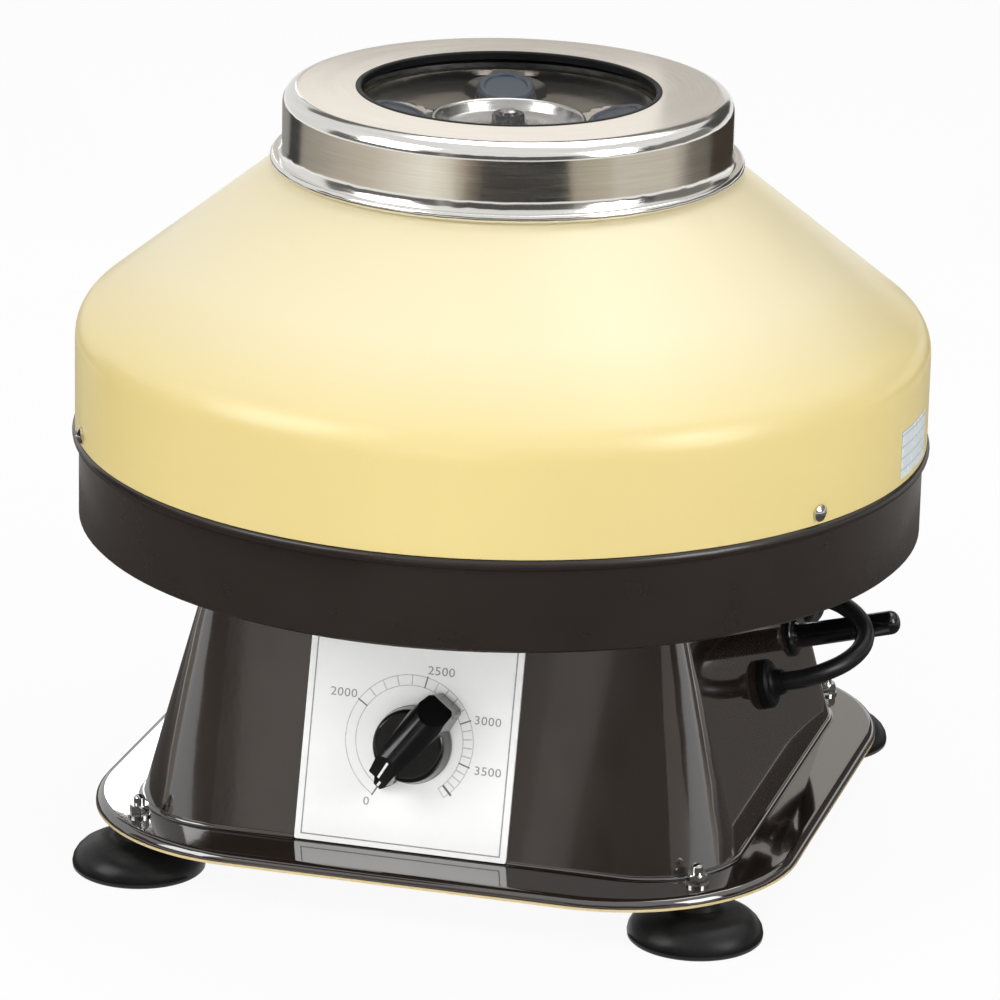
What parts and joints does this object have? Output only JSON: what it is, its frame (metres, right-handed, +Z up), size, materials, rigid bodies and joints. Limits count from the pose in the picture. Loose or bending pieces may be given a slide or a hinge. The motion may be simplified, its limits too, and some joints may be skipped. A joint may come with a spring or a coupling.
{
  "type": "laboratory centrifuge",
  "caption": "Bench tube centrifuge for fat tests: windowed lift-off lid over a spun chamber, on a tapered motor stand with a dial and suction feet.",
  "frame": {"origin": "middle of the footprint on the bench, straight under the rotor shaft", "axes": "+Z up along the rotor shaft, -Y out of the dial side, +X to the side the mains lead leaves"},
  "size_m": [0.3826, 0.4917, 0.3351],
  "materials": {
    "brown_enamel": "glossy stoved enamel",
    "cream_enamel": "satin enamel",
    "stainless": "spun and polished",
    "polished_alloy": "polished or turned",
    "bright_screws": "bright plated",
    "black_rubber": "matt rubber",
    "black_moulding": "moulded, semi-gloss",
    "white_plate": "satin printed plate",
    "label_card": "matt",
    "window_clear": "clear sheet",
    "cap_plastic": "translucent satin",
    "steel_parts": "plain steel",
    "copper_parts": "varnished copper",
    "carbon": "matt carbon",
    "brass_pins": "bright brass"
  },
  "bodies": {
    "stand": {"base_plate": "brown_enamel", "stand_housing": "brown_enamel", "housing_brackets": "steel_parts", "housing_screws": "bright_screws", "suction_cup_front_left": "black_rubber", "suction_cup_front_right": "black_rubber", "suction_cup_rear_left": "black_rubber", "suction_cup_rear_right": "black_rubber", "foot_studs": "bright_screws", "foot_nuts": "bright_screws", "dial_plate": "white_plate", "speed_control": "black_moulding", "control_nut": "bright_screws", "cord_bushing": "black_rubber", "cord_peg": "black_moulding", "lower_bowl": "brown_enamel", "bowl_bolts": "bright_screws", "bowl_nuts": "bright_screws", "chamber_cover": "cream_enamel", "cover_screws": "bright_screws", "rating_label": "label_card", "motor_plate": "steel_parts", "motor_isolators": "black_rubber", "motor_body": "steel_parts", "motor_upper_bell": "polished_alloy", "motor_lower_bell": "polished_alloy", "motor_bolts": "bright_screws", "stator_core": "steel_parts", "field_coils": "copper_parts", "brush_holders": "black_moulding", "carbon_brushes": "carbon", "shaft_bearings": "bright_screws", "shaft_seal": "black_rubber", "terminal_block": "label_card", "internal_leads": "copper_parts", "cord_run": "black_rubber", "cord_coil": "black_rubber", "cord_tie": "label_card", "plug_body": "black_moulding", "plug_pins": "brass_pins"},
    "rotor": {"rotor_shaft": "bright_screws", "armature_core": "steel_parts", "armature_windings": "copper_parts", "commutator": "copper_parts", "cooling_fan": "polished_alloy", "rotor_hub": "polished_alloy", "rotor_dish": "polished_alloy", "sleeve_carrier": "polished_alloy", "tube_sleeves": "polished_alloy", "tube_caps": "cap_plastic", "hub_disc": "stainless", "hub_washer": "bright_screws", "hub_nut": "black_moulding"},
    "knob": {"speed_knob": "black_moulding", "knob_spindle": "bright_screws"},
    "lid": {"lid_ring": "stainless", "window_gasket": "black_rubber", "window_pane": "window_clear", "window_retainer": "polished_alloy", "window_nuts": "bright_screws"}
  },
  "joints": [
    {"name": "rotor_spin", "type": "hinge", "parent": "stand", "child": "rotor", "pos_m": [0, 0, 0.2], "axis": [0, 0, 1], "continuous": true},
    {"name": "speed_knob_turn", "type": "hinge", "parent": "stand", "child": "knob", "pos_m": [-0.0028, -0.11857, 0.06944], "axis": [0, 0.965, -0.2622], "range_deg": [0, 281]},
    {"name": "lid_lift", "type": "slide", "parent": "stand", "child": "lid", "axis": [0, 0, 1], "range_m": [0, 0.09]}
  ]
}
